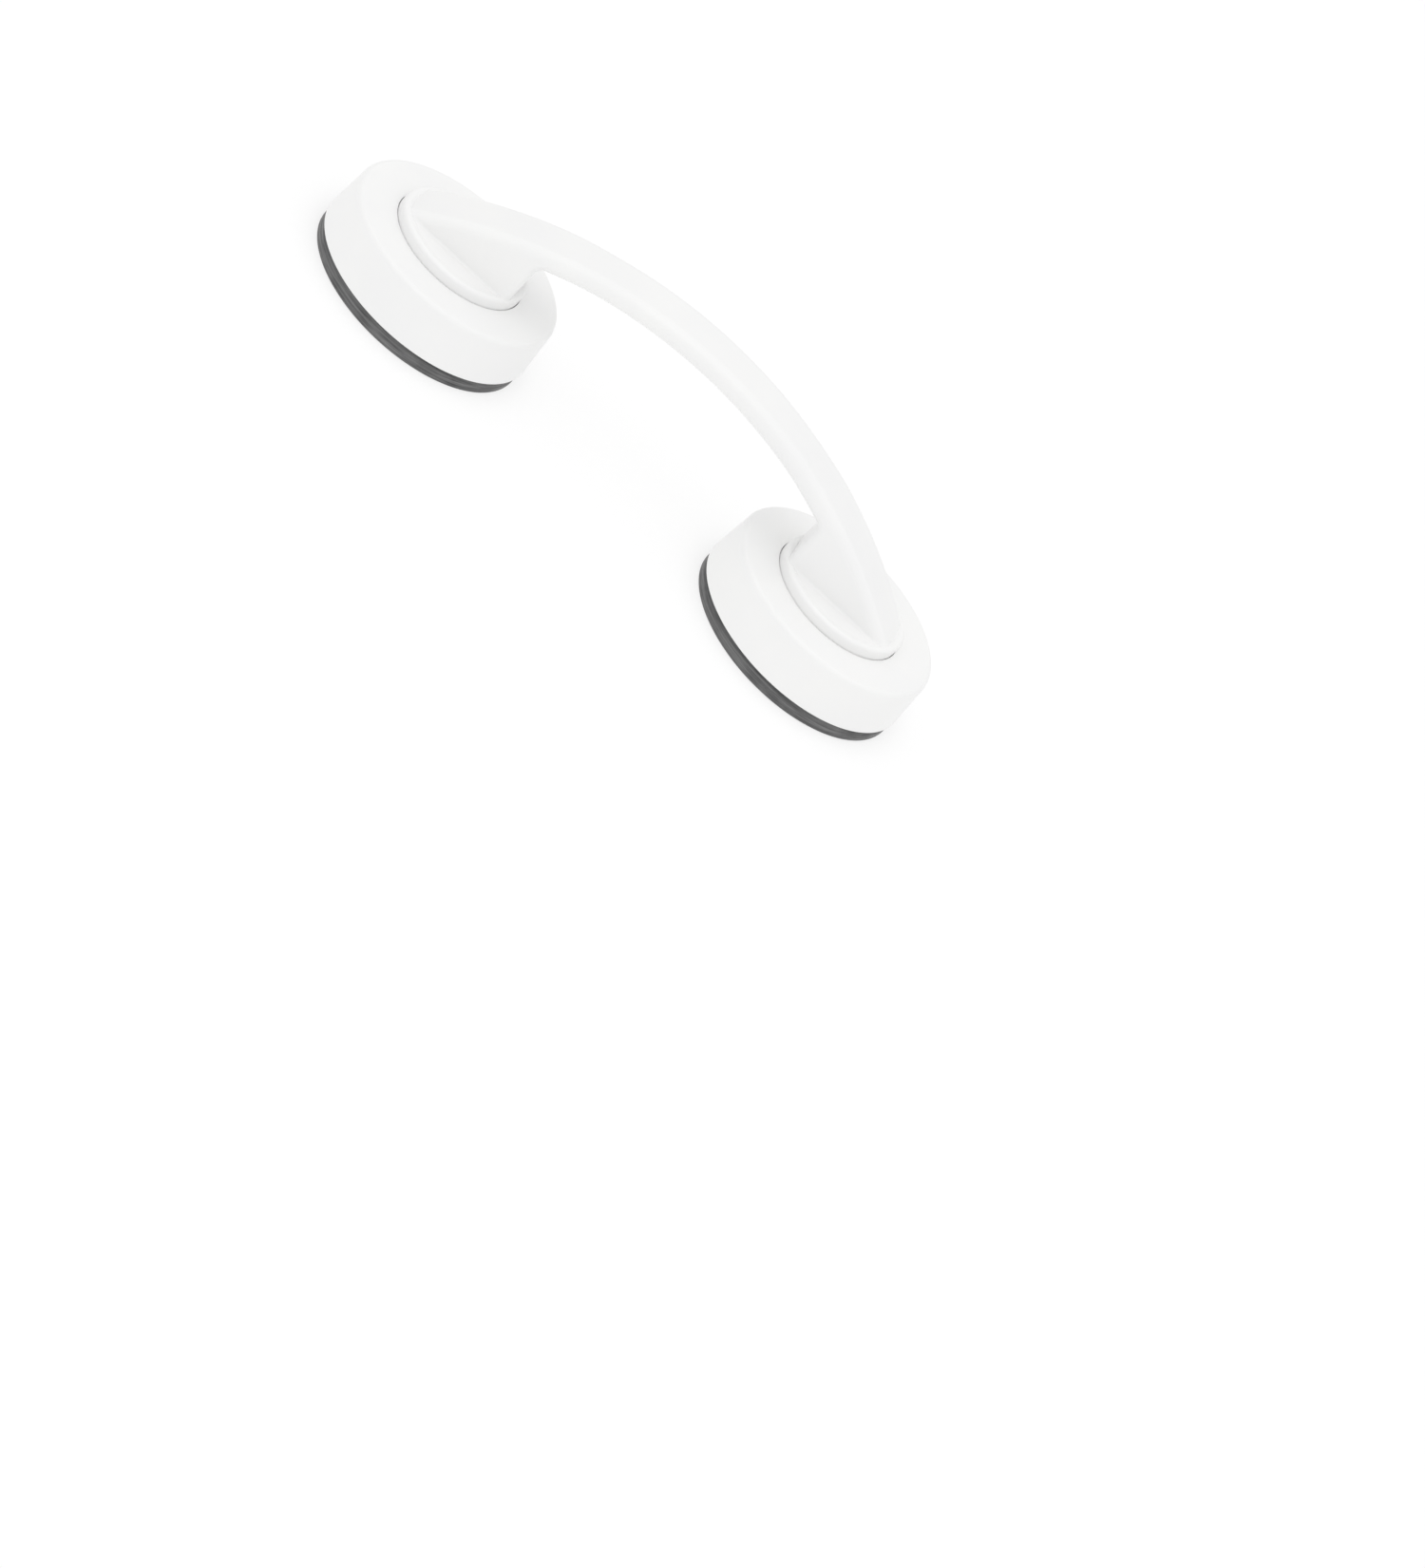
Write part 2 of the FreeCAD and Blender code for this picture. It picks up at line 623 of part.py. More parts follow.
def handle_cavity():
    """Space inside the bar, its roots and its feet."""
    space = arch(WALL, FOOT_TOP_Z - 8)
    space = space.cut(bar_layer(0.0, COVER_T).common(cover_block(5 * COVER_GAP)))
    feet = []
    for sign in (-1, 1):
        feet.append(disc(FOOT_R - WALL, FLANGE_TOP_Z - 1, FOOT_TOP_Z - FOOT_DISH - WALL, sign * CUP_X))
    return space.fuse(feet)


def handle_shell():
    """One-piece moulding: bar, roots and feet, hollow, with bosses for the screws."""
    outside = rounded_arch(FOOT_TOP_Z - 5)
    outside = outside.fuse([foot(-CUP_X), foot(CUP_X)])
    cavity = handle_cavity()
    shell = outside.cut(cavity)
    shell = shell.cut(cover_block(COVER_GAP).common(bar_layer(-1.0, COVER_T)))
    bosses = []
    boss_roof_z = FOOT_TOP_Z - FOOT_DISH - WALL + 0.5
    for sign in (-1, 1):
        for x, y in hub_screw_places():
            bosses.append(disc(SCREW_BOSS_R, FLANGE_TOP_Z, boss_roof_z, x + sign * CUP_X, y))
    for x, y in cover_screw_places():
        post = disc(SCREW_BOSS_R, under_z(x) - 2, ARCH_TOP_Z, x, y)
        bosses.append(post.common(bar_layer(COVER_T + SLIP_GAP, GRIP_T - WALL + 0.5)))
    shell = shell.fuse(bosses)
    shell = shell.cut(cover_holes(5.2))
    for sign in (-1, 1):
        holes = screw_holes(hub_screw_places(), FLANGE_Z, 7.0)
        shell = shell.cut(holes.translated(V(sign * CUP_X, 0, 0)))
    return shell.removeSplitter()


CUP_PARTS = {
    "suction_pad": suction_pad,
    "insert_plate": insert_plate,
    "stem": stem,
    "cross_pin": cross_pin,
    "return_spring": return_spring,
    "slip_ring": slip_ring,
    "pressure_plate": pressure_plate,
    "plate_screws": plate_screws,
    "cam_ring": cam_ring,
    "cam_screws": cam_screws,
    "twist_housing": twist_housing,
    "thrust_washer": thrust_washer,
    "hub": hub,
    "hub_screws": hub_screws,
}

HANDLE_PARTS = {
    "handle_shell": handle_shell,
    "handle_lower_cover": handle_lower_cover,
    "cover_screws": cover_screws,
}


def save(name, shape):
    """Write one node and print its state."""
    shape.exportStep("parts/" + name + ".step")
    box = shape.BoundBox
    size = "%.1f x %.1f x %.1f" % (box.XLength, box.YLength, box.ZLength)
    state = "solids %d valid %s" % (len(shape.Solids), shape.isValid())
    print(name, state, "size", size, "volume %.0f" % shape.Volume)


def main():
    os.makedirs("parts", exist_ok=True)
    for name, build in HANDLE_PARTS.items():
        save(name, build())
    for name, build in CUP_PARTS.items():
        part = build()
        left = part.rotated(V(0, 0, 0), UP, 180).translated(V(-CUP_X, 0, 0))
        save(name + "_left", left)
        save(name + "_right", part.translated(V(CUP_X, 0, 0)))


main()
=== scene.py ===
# %% [markdown]
# # Suction grab bar
# An arched white hand grip stands with two round feet in two round housings. Each housing turns on
# its foot and pulls a rubber pad tight against a smooth wall. The mechanism comes from the CAD frame.
# The pieces that the eye meets, and the springs, are modelled again here, with clean rounded meshes
# and real finishes.

import bmesh
import bpy
import json
import math
from mathutils import Matrix, Vector


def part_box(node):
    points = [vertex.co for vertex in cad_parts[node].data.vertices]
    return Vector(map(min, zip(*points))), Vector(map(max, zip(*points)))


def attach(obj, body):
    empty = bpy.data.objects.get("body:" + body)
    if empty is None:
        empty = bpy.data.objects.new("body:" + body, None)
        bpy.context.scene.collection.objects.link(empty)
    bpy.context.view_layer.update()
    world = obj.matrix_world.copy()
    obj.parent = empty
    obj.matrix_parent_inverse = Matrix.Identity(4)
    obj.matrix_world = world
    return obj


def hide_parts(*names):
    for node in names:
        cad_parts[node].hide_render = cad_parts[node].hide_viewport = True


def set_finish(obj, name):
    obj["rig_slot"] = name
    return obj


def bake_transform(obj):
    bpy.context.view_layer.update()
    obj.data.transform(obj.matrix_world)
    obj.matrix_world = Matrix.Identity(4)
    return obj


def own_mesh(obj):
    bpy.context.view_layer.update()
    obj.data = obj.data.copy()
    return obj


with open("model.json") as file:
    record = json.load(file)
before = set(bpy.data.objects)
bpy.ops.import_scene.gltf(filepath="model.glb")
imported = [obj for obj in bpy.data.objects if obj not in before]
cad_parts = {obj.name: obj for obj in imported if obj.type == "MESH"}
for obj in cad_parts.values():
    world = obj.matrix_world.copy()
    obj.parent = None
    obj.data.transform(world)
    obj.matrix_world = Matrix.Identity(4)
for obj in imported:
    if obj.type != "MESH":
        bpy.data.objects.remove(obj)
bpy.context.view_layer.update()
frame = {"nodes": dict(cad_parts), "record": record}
MM = 0.001

# %% [markdown]
# ## Camera
# A long lens two metres away flattens the perspective, as a catalogue likes it. The camera is also
# rolled by nearly half a right angle, so that the bar runs down to the right. A pose like this could
# be set with three angles. The camera's own directions are used instead, because they can be checked
# by eye: their first numbers say how the bar's length runs, and their last numbers how its height does.

# %% Camera
SENSOR_WIDTH = 36
LENS = 120
picture_right = Vector((0.734980, 0.270101, 0.621973))
picture_down = Vector((0.670670, -0.424871, -0.608018))
view_direction = Vector((0.100032, 0.864020, -0.493420))
eye = Vector((-89.30, -1748.58, 928.72)) * MM

camera_data = bpy.data.cameras.new("camera")
camera_data.sensor_width = SENSOR_WIDTH
camera_data.lens = LENS
camera = bpy.data.objects.new("camera", camera_data)
axes = Matrix((picture_right, -picture_down, -view_direction)).transposed()
camera.matrix_world = Matrix.Translation(eye) @ axes.to_4x4()
bpy.context.scene.collection.objects.link(camera)
bpy.context.scene.camera = camera
print("camera stands at", [round(value, 2) for value in eye])

# %% [markdown]
# ## Sizes
# Each piece is placed from the frame: a node's box says where its faces are. The few sizes that a box
# can't say, such as an edge radius, are given in millimetres where a piece first needs them.

# %% Sizes
def span(node):
    """Lowest and highest corner of a CAD node, in millimetres."""
    low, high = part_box(node)
    return Vector(low) / MM, Vector(high) / MM


pad_low, pad_high = span("suction_pad_right")
house_low, house_high = span("twist_housing_right")
CUP_X = (pad_low.x + pad_high.x) / 2
HOUSING_R = house_high.x - CUP_X
print("cup axis at", round(CUP_X, 2), "housing radius", round(HOUSING_R, 2))

# %% [markdown]
# ## Working in edit mode
# Operators act on what is selected, so each step starts by selecting by place: a small test says
# which points, edges or faces are meant. These helpers do what a hand does with the select tools. In
# such a test, places within NEAR millimetres of each other count as the same. Points that are closer
# than MERGE millimetres become one.

# %% Selection helpers
NEAR = 0.01
MERGE = 0.002


def begin(piece, name):
    """Names a new primitive and opens it in edit mode."""
    piece.name = name
    piece.data.name = name
    bpy.ops.object.mode_set(mode="EDIT")
    return piece


def pick(piece, kind, test):
    """Selects only the vertices, edges or faces that pass the test, and counts them."""
    bpy.ops.mesh.select_mode(type=kind)
    bpy.ops.mesh.select_all(action="DESELECT")
    work = bmesh.from_edit_mesh(piece.data)
    items = {"VERT": work.verts, "EDGE": work.edges, "FACE": work.faces}[kind]
    count = 0
    for item in items:
        if test(item):
            item.select = True
            count += 1
    work.select_flush_mode()
    bmesh.update_edit_mesh(piece.data)
    return count


def clean_normals():
    """Merges doubled points and turns all faces outwards."""
    bpy.ops.mesh.select_all(action="SELECT")
    bpy.ops.mesh.remove_doubles(threshold=MERGE * MM)
    bpy.ops.mesh.normals_make_consistent(inside=False)


def done():
    """Leaves edit mode."""
    bpy.ops.object.mode_set(mode="OBJECT")


# %% [markdown]
# ## Working with modifiers
# Mirrors, screws and cuts are modifiers that are applied at once, so that the next step always works
# on a plain mesh. A modifier acts on the active object, so that object is chosen first.

# %% Modifier helpers
def only(piece):
    """Makes one object the selected and active one."""
    bpy.ops.object.select_all(action="DESELECT")
    piece.select_set(True)
    bpy.context.view_layer.objects.active = piece


def apply_modifier(piece, kind, **settings):
    """Adds a modifier with its settings and applies it."""
    only(piece)
    modifier = piece.modifiers.new(kind.lower(), kind)
    for key, value in settings.items():
        setattr(modifier, key, value)
    bpy.ops.object.modifier_apply(modifier=modifier.name)


def combine(piece, tool, operation):
    """Joins, cuts or trims a piece with another solid, which is used up."""
    apply_modifier(piece, "BOOLEAN", object=tool, operation=operation, solver="EXACT")
    bpy.data.objects.remove(tool)


# %% [markdown]
# ## The arch
# The grip is a bent strip of constant thickness, so its section is drawn once, as a rectangle across
# the bar, and spun about the arch's centre, first to the root's inner wall and then on to the far
# end. A sweep along a curve would also do, but a spin keeps each ring where it is wanted, and
# the root can then be pulled down from the underside of the outer rings.

# %% Arch: section and spin
ARCH_TOP_Z = span("handle_shell")[1].z
ARCH_R = 204.0
ARCH_CENTRE_Z = ARCH_TOP_Z - ARCH_R
GRIP_T = 8.2
GRIP_HALF_W = 13.25
UNDER_R = ARCH_R - GRIP_T
ROOT_INNER_X = 71.0
ARCH_END_X = 132.0
RINGS_TO_ROOT = 16
RINGS_TO_END = 12
arch_centre = (0, 0, ARCH_CENTRE_Z * MM)


def plane_across(name, middle_z, thickness, width):
    """An upright rectangle across the middle of the bar, open in edit mode."""
    bpy.ops.object.select_all(action="DESELECT")
    bpy.ops.mesh.primitive_plane_add(size=MM, location=(0, 0, middle_z * MM), rotation=(0, math.pi / 2, 0))
    piece = bpy.context.object
    piece.scale = (thickness, width, 1)
    bpy.ops.object.transform_apply(location=True, rotation=True, scale=True)
    return begin(piece, name)


arch = plane_across("handle_moulding", ARCH_TOP_Z - GRIP_T / 2, GRIP_T, 2 * GRIP_HALF_W)
bpy.ops.mesh.delete(type="ONLY_FACE")
bpy.ops.mesh.select_all(action="SELECT")
root_angle = math.asin(ROOT_INNER_X / UNDER_R)
end_angle = math.asin(ARCH_END_X / ARCH_R)
bpy.ops.mesh.spin(steps=RINGS_TO_ROOT, angle=-root_angle, center=arch_centre, axis=(0, 1, 0))
bpy.ops.mesh.spin(steps=RINGS_TO_END, angle=root_angle - end_angle, center=arch_centre, axis=(0, 1, 0))
bpy.ops.mesh.edge_face_add()
print("rings to", round(max(v.co.x for v in bmesh.from_edit_mesh(arch.data).verts) / MM, 2))

# %% [markdown]
# ## The wider roots
# The grip is a little wider where it turns down into its roots. A smooth step could be a curve that the
# section follows. Here each ring is simply widened by its own factor, which keeps the rings flat.

# %% Arch: widen towards the root
ROOT_HALF_W = 14.25
WIDEN_FROM_X = 50.0
WIDEN_TO_X = 72.0
SAME_RING = 0.0002


def angle_of(point):
    """Angle of a point round the arch's centre line, from straight up."""
    return math.atan2(point.x, point.z - ARCH_CENTRE_Z * MM)


ring_angles = sorted({round(angle_of(v.co), 4) for v in bmesh.from_edit_mesh(arch.data).verts})
for ring_angle in ring_angles:
    share = (ARCH_R * math.sin(ring_angle) - WIDEN_FROM_X) / (WIDEN_TO_X - WIDEN_FROM_X)
    share = min(max(share, 0.0), 1.0)
    smooth = share * share * (3 - 2 * share)
    factor = 1 + smooth * (ROOT_HALF_W / GRIP_HALF_W - 1)
    if factor > 1:
        pick(arch, "VERT", lambda v: abs(angle_of(v.co) - ring_angle) < SAME_RING)
        bpy.ops.transform.resize(value=(1, factor, 1), center_override=(0, 0, 0))
print(len(ring_angles), "rings")

# %% [markdown]
# ## The solid root
# Between its inner wall and the falling arch, each root is one solid block with flat sides. The outer
# rings' underside is extruded and pressed flat at DEEP_Z, well below the foot's top. The corner between
# the inner wall and the grip gets a fillet, as a mould needs. The flat sides are then merged, so that
# the bevels run along clean edges.

# %% Arch: pull the root down
PULL = 5.0
DEEP_Z = 12.0
ROOT_FILLET = 4.0
SIDES_FROM_X = ROOT_INNER_X - 2


def from_centre(point):
    """Distance of a point from the arch's centre line, in millimetres."""
    return math.hypot(point.x / MM, point.z / MM - ARCH_CENTRE_Z)


def is_under(point):
    """On the grip's underside."""
    return abs(from_centre(point) - UNDER_R) < NEAR


def is_root_underside(face):
    """A face of the underside beyond the root's inner wall."""
    return all(is_under(v.co) for v in face.verts) and angle_of(face.calc_center_median()) > root_angle


def is_wall_corner(edge):
    """The edge where the grip's underside meets the root's inner wall."""
    return all(is_under(v.co) and abs(v.co.x - ROOT_INNER_X * MM) < NEAR * MM for v in edge.verts)


def is_root_side(face):
    """A flat side face of the root."""
    return abs(face.normal.y) > 0.9 and face.calc_center_median().x > SIDES_FROM_X * MM


pick(arch, "FACE", is_root_underside)
bpy.ops.mesh.extrude_region_move(TRANSFORM_OT_translate={"value": (0, 0, -PULL * MM)})
bpy.ops.transform.resize(value=(1, 1, 0), center_override=(0, 0, DEEP_Z * MM))
turn_at_wall = math.pi / 2 - root_angle
pick(arch, "EDGE", is_wall_corner)
bpy.ops.mesh.bevel(offset=ROOT_FILLET * math.tan(turn_at_wall / 2) * MM, segments=5, affect="EDGES")
side_count = pick(arch, "FACE", is_root_side)
bpy.ops.mesh.dissolve_faces()
print("merged", side_count, "side faces")

# %% [markdown]
# ## Rounded edges
# The grip's upper edges have a generous round that a wet hand can hold, and the edges towards the wall
# a smaller one. Both are bevels that follow the arch. The lower one runs on through the fillet and
# down the root's inner wall.

# %% Arch: round the edges
TOP_ROUND = 4.2
UNDER_ROUND = 3.4


def along_one_side(edge):
    """An edge whose two ends are on the same side face."""
    first, last = (v.co.y for v in edge.verts)
    return min(abs(first), abs(last)) > (GRIP_HALF_W - NEAR) * MM and first * last > 0


def is_top_edge(edge):
    """A long edge of the arch's top."""
    return along_one_side(edge) and all(abs(from_centre(v.co) - ARCH_R) < NEAR for v in edge.verts)


def in_hand_gap(edge):
    """A long edge along the underside, the fillet and the root's inner wall."""
    first, last = (v.co for v in edge.verts)
    along_wall = max(first.x, last.x) < (ROOT_INNER_X + NEAR) * MM
    below = max(from_centre(first), from_centre(last)) < UNDER_R + 2 * NEAR
    seam = max(first.x, last.x) < NEAR * MM
    return along_one_side(edge) and along_wall and below and not seam


top_count = pick(arch, "EDGE", is_top_edge)
bpy.ops.mesh.bevel(offset=TOP_ROUND * MM, segments=7, affect="EDGES")
under_count = pick(arch, "EDGE", in_hand_gap)
bpy.ops.mesh.bevel(offset=UNDER_ROUND * MM, segments=6, affect="EDGES")
print("rounded", top_count, "top edges and", under_count, "lower edges")

# %% [markdown]
# ## The whole bar
# The bar is the same to the left and to the right, so the half is mirrored. The roots were pulled down
# too far on purpose. A plain block now cuts both to one level just above the feet.

# %% Arch: mirror the half and trim the roots
FOOT_TOP_Z = 30.4
COVE = 1.3
CUT_Z = FOOT_TOP_Z + COVE
TRIM_SIZE = (300, 60, 40)
clean_normals()
done()
apply_modifier(arch, "MIRROR", use_axis=(True, False, False), merge_threshold=NEAR * MM)
only(arch)
bpy.ops.object.mode_set(mode="EDIT")
clean_normals()
done()
bpy.ops.object.select_all(action="DESELECT")
bpy.ops.mesh.primitive_cube_add(size=MM, location=(0, 0, (CUT_Z - TRIM_SIZE[2] / 2) * MM))
trim_block = bpy.context.object
trim_block.scale = TRIM_SIZE
bpy.ops.object.transform_apply(location=True, rotation=False, scale=True)
combine(arch, trim_block, "DIFFERENCE")
print("trimmed at", CUT_Z)

# %% [markdown]
# ## Where the root meets the foot
# A moulded corner is never quite sharp inside: the tool leaves a small cove. A bevel on the finished
# joint would have to squeeze past the foot's rim, so the root's own bottom is flared instead. It is
# extruded down in steps along a quarter circle, wider at each step, and then into the foot.

# %% Cove at the foot
COVE_STEPS = 4
SUNK = 0.8


def root_end_x(z):
    """How far out the arch's top surface is at a height."""
    return math.sqrt(ARCH_R ** 2 - (z - ARCH_CENTRE_Z) ** 2)


only(arch)
bpy.ops.object.mode_set(mode="EDIT")
for sign in (-1, 1):
    pick(arch, "FACE", lambda f: f.normal.z < -0.99 and f.calc_center_median().z < (CUT_Z + NEAR) * MM
         and f.calc_center_median().x * sign > 0)
    z, half_width, end_x = CUT_Z, ROOT_HALF_W, root_end_x(CUT_Z)
    for step in range(1, COVE_STEPS + 1):
        turned = math.pi / 2 * step / COVE_STEPS
        next_z = FOOT_TOP_Z + COVE * (1 - math.sin(turned))
        next_half = ROOT_HALF_W + COVE * (1 - math.cos(turned))
        next_end = root_end_x(next_z)
        bpy.ops.mesh.extrude_region_move(TRANSFORM_OT_translate={"value": (0, 0, (next_z - z) * MM)})
        grow = ((next_end - ROOT_INNER_X) / (end_x - ROOT_INNER_X), next_half / half_width, 1)
        bpy.ops.transform.resize(value=grow, center_override=(sign * ROOT_INNER_X * MM, 0, 0))
        z, half_width, end_x = next_z, next_half, next_end
    bpy.ops.mesh.extrude_region_move(TRANSFORM_OT_translate={"value": (0, 0, -SUNK * MM)})
clean_normals()
done()
print("arch faces", len(arch.data.polygons))

# %% [markdown]
# ## Turned shapes
# Feet, housings and pads are round. Each starts as a polygon primitive whose corners are moved to the
# corners of the real section. The corners are rounded with a vertex bevel, and the outline is spun
# about the cup's axis. Drawing only the corners keeps every radius easy to change.

# %% Turned shapes
START_R = 50.0


def section(name, corners):
    """A flat polygon on the XZ plane through the cup's axis: corners are (radius, z) in millimetres."""
    bpy.ops.object.select_all(action="DESELECT")
    bpy.ops.mesh.primitive_circle_add(vertices=len(corners), radius=START_R * MM, fill_type="NGON")
    piece = begin(bpy.context.object, name)
    for index, (radius, z) in enumerate(corners):
        pick(piece, "VERT", lambda v: v.index == index)
        here = next(v.co.copy() for v in bmesh.from_edit_mesh(piece.data).verts if v.select)
        bpy.ops.transform.translate(value=Vector((radius, 0, z)) * MM - here)
    return piece


def round_corner(piece, radius, z, size, segments=4):
    """Rounds the section's corner nearest to this place."""
    here = Vector((radius, 0, z)) * MM
    work = bmesh.from_edit_mesh(piece.data)
    nearest_index = min(work.verts, key=lambda v: (v.co - here).length).index
    pick(piece, "VERT", lambda v: v.index == nearest_index)
    bpy.ops.mesh.bevel(offset=size * MM, segments=segments, affect="VERTICES")


def turn(piece, steps=144):
    """Spins the section all the way round and closes it."""
    bpy.ops.mesh.select_all(action="SELECT")
    bpy.ops.mesh.delete(type="ONLY_FACE")
    pick(piece, "EDGE", lambda e: all(abs(v.co.x) < MERGE / 2 * MM for v in e.verts))
    bpy.ops.mesh.delete(type="EDGE")
    bpy.ops.mesh.select_all(action="SELECT")
    bpy.ops.mesh.spin(steps=steps, angle=2 * math.pi, center=(0, 0, 0), axis=(0, 0, 1))
    clean_normals()
    done()


def copy_at(piece, name, x):
    """A copy with its own mesh, standing on the cup axis at x millimetres."""
    only(piece)
    bpy.ops.object.duplicate()
    twin = bpy.context.object
    twin.name = name
    twin.data.name = name
    twin.location = (x * MM, 0, 0)
    bpy.ops.object.transform_apply(location=True, rotation=False, scale=False)
    return twin


# %% [markdown]
# ## Feet
# Each root ends in a round foot with a raised, rounded rim about a slightly lower flat top. The foot is
# one moulding with the grip, so it is turned once and joined to both roots. Its side goes down
# into the housing's hole and leaves only a fine ring gap.

# %% Foot
FOOT_R = 28.85
FOOT_BOTTOM_Z = 22.4
RIM_TOP_Z = 31.1
RIM_INNER_R = 26.2
FLAT_TOP_R = 24.9
foot = section("foot", [
    (0, FOOT_BOTTOM_Z), (FOOT_R, FOOT_BOTTOM_Z), (FOOT_R, RIM_TOP_Z), (RIM_INNER_R, RIM_TOP_Z),
    (FLAT_TOP_R, FOOT_TOP_Z), (0, FOOT_TOP_Z),
])
round_corner(foot, FOOT_R, RIM_TOP_Z, 1.5, 7)
round_corner(foot, RIM_INNER_R, RIM_TOP_Z, 0.7)
round_corner(foot, FLAT_TOP_R, FOOT_TOP_Z, 0.9)
turn(foot)
for side, x in (("left", -CUP_X), ("right", CUP_X)):
    combine(arch, copy_at(foot, "foot_" + side, x), "UNION")
bpy.data.objects.remove(foot)
print("handle faces", len(arch.data.polygons))

# %% [markdown]
# ## The slot under the grip
# The grip is moulded hollow and closed from below by a thin strip. The strip and its screws come from
# the frame. The handle needs the shallow slot that they sit in, which a curved block cuts. The block
# goes SLOT_DEPTH into the grip and reaches SLOT_REACH out of it, and two short cylinders give it the
# strip's round ends.

# %% Slot for the lower cover
SLOT_GAP = 0.15
SLOT_DEPTH = 2.3
SLOT_REACH = 2.0
cover_high = span("handle_lower_cover")[1]
block_t = SLOT_DEPTH + SLOT_REACH
block_middle_r = UNDER_R + (SLOT_DEPTH - SLOT_REACH) / 2
slot_half_w = cover_high.y + SLOT_GAP
slot_angle = math.asin((cover_high.x + SLOT_GAP - slot_half_w) / UNDER_R)
slot_tool = plane_across("slot_tool", ARCH_CENTRE_Z + block_middle_r, block_t, 2 * slot_half_w)
bpy.ops.mesh.select_all(action="SELECT")
bpy.ops.transform.rotate(value=slot_angle, orient_axis="Y", center_override=arch_centre)
bpy.ops.mesh.spin(steps=40, angle=-2 * slot_angle, center=arch_centre, axis=(0, 1, 0))
clean_normals()
done()
for lean in (-slot_angle, slot_angle):
    end_x = block_middle_r * math.sin(lean)
    end_z = ARCH_CENTRE_Z + block_middle_r * math.cos(lean)
    bpy.ops.object.select_all(action="DESELECT")
    bpy.ops.mesh.primitive_cylinder_add(vertices=64, radius=slot_half_w * MM, depth=block_t * MM,
                                        location=(end_x * MM, 0, end_z * MM), rotation=(0, lean, 0))
    slot_end = bpy.context.object
    bpy.ops.object.transform_apply(location=True, rotation=True, scale=True)
    combine(slot_tool, slot_end, "UNION")
print("slot tool faces", len(slot_tool.data.polygons))
combine(arch, slot_tool, "DIFFERENCE")

# %% [markdown]
# ## Smooth shading
# Rounded pieces are shaded smooth, and only real corners stay sharp. Face-weighted normals keep the
# large faces flat up to their bevels, as on a moulding from a polished tool.

# %% Finish the handle
CORNER_ANGLE = math.radians(35)
NORMAL_WEIGHT = 80


def weigh_normals(piece):
    """Lets the larger faces decide how a smooth surface turns."""
    apply_modifier(piece, "WEIGHTED_NORMAL", keep_sharp=True, weight=NORMAL_WEIGHT)


only(arch)
bpy.ops.object.shade_smooth_by_angle(angle=CORNER_ANGLE)
weigh_normals(arch)
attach(arch, "handle")
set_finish(arch, "white_abs")
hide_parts("handle_shell")
print("handle faces", len(arch.data.polygons))

# %% [markdown]
# ## Turning housings
# Each housing is a deep white cap with a hole in its roof for the foot. A hand grips its side and
# turns it. The section is a bent wall with a slight draft, so that the moulding leaves its tool.
# Six screw bosses hang from the roof inside. One boss is turned and copied round.

# %% Housings
HOUSING_BOTTOM_Z = house_low.z
HOUSING_TOP_Z = house_high.z
HOUSING_TOP_R = 46.3
HOUSING_WALL = 2.2
ROOF = 3.0
HOLE_R = 29.1
BOSS_R = 3.3
BOSS_CIRCLE_R = 40.0
BOSS_COUNT = 6
BOSS_START_ANGLE = 30
BOSS_INTO_ROOF = 0.5
roof_z = HOUSING_TOP_Z - ROOF
plate_top_z = span("pressure_plate_right")[1].z
boss_top_z = roof_z + BOSS_INTO_ROOF

housing = section("twist_housing", [
    (HOUSING_R, HOUSING_BOTTOM_Z), (HOUSING_TOP_R, HOUSING_TOP_Z), (HOLE_R, HOUSING_TOP_Z),
    (HOLE_R, roof_z), (HOUSING_TOP_R - HOUSING_WALL, roof_z),
    (HOUSING_R - HOUSING_WALL, HOUSING_BOTTOM_Z),
])
round_corner(housing, HOUSING_TOP_R, HOUSING_TOP_Z, 2.0, 7)
round_corner(housing, HOLE_R, HOUSING_TOP_Z, 0.2, 2)
round_corner(housing, HOUSING_R, HOUSING_BOTTOM_Z, 0.45, 3)
round_corner(housing, HOUSING_TOP_R - HOUSING_WALL, roof_z, 1.2)
turn(housing, 180)
boss = section("boss", [
    (0, plate_top_z), (BOSS_R, plate_top_z), (BOSS_R, boss_top_z), (0, boss_top_z),
])
round_corner(boss, BOSS_R, plate_top_z, 0.3, 2)
turn(boss, 32)
for number in range(BOSS_COUNT):
    angle = math.radians(BOSS_START_ANGLE + 360 / BOSS_COUNT * number)
    post = copy_at(boss, "boss_copy", 0)
    outwards = Vector((math.cos(angle), math.sin(angle), 0))
    bpy.ops.transform.translate(value=outwards * BOSS_CIRCLE_R * MM)
    combine(housing, post, "UNION")
bpy.data.objects.remove(boss)
only(housing)
bpy.ops.object.shade_smooth_by_angle(angle=CORNER_ANGLE)
for side, x in (("left", -CUP_X), ("right", CUP_X)):
    piece = copy_at(housing, "housing_moulding_" + side, x)
    weigh_normals(piece)
    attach(piece, "dial_" + side)
    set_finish(piece, "white_abs")
    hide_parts("twist_housing_" + side)
    print(piece.name, len(piece.data.polygons), "faces")
bpy.data.objects.remove(housing)
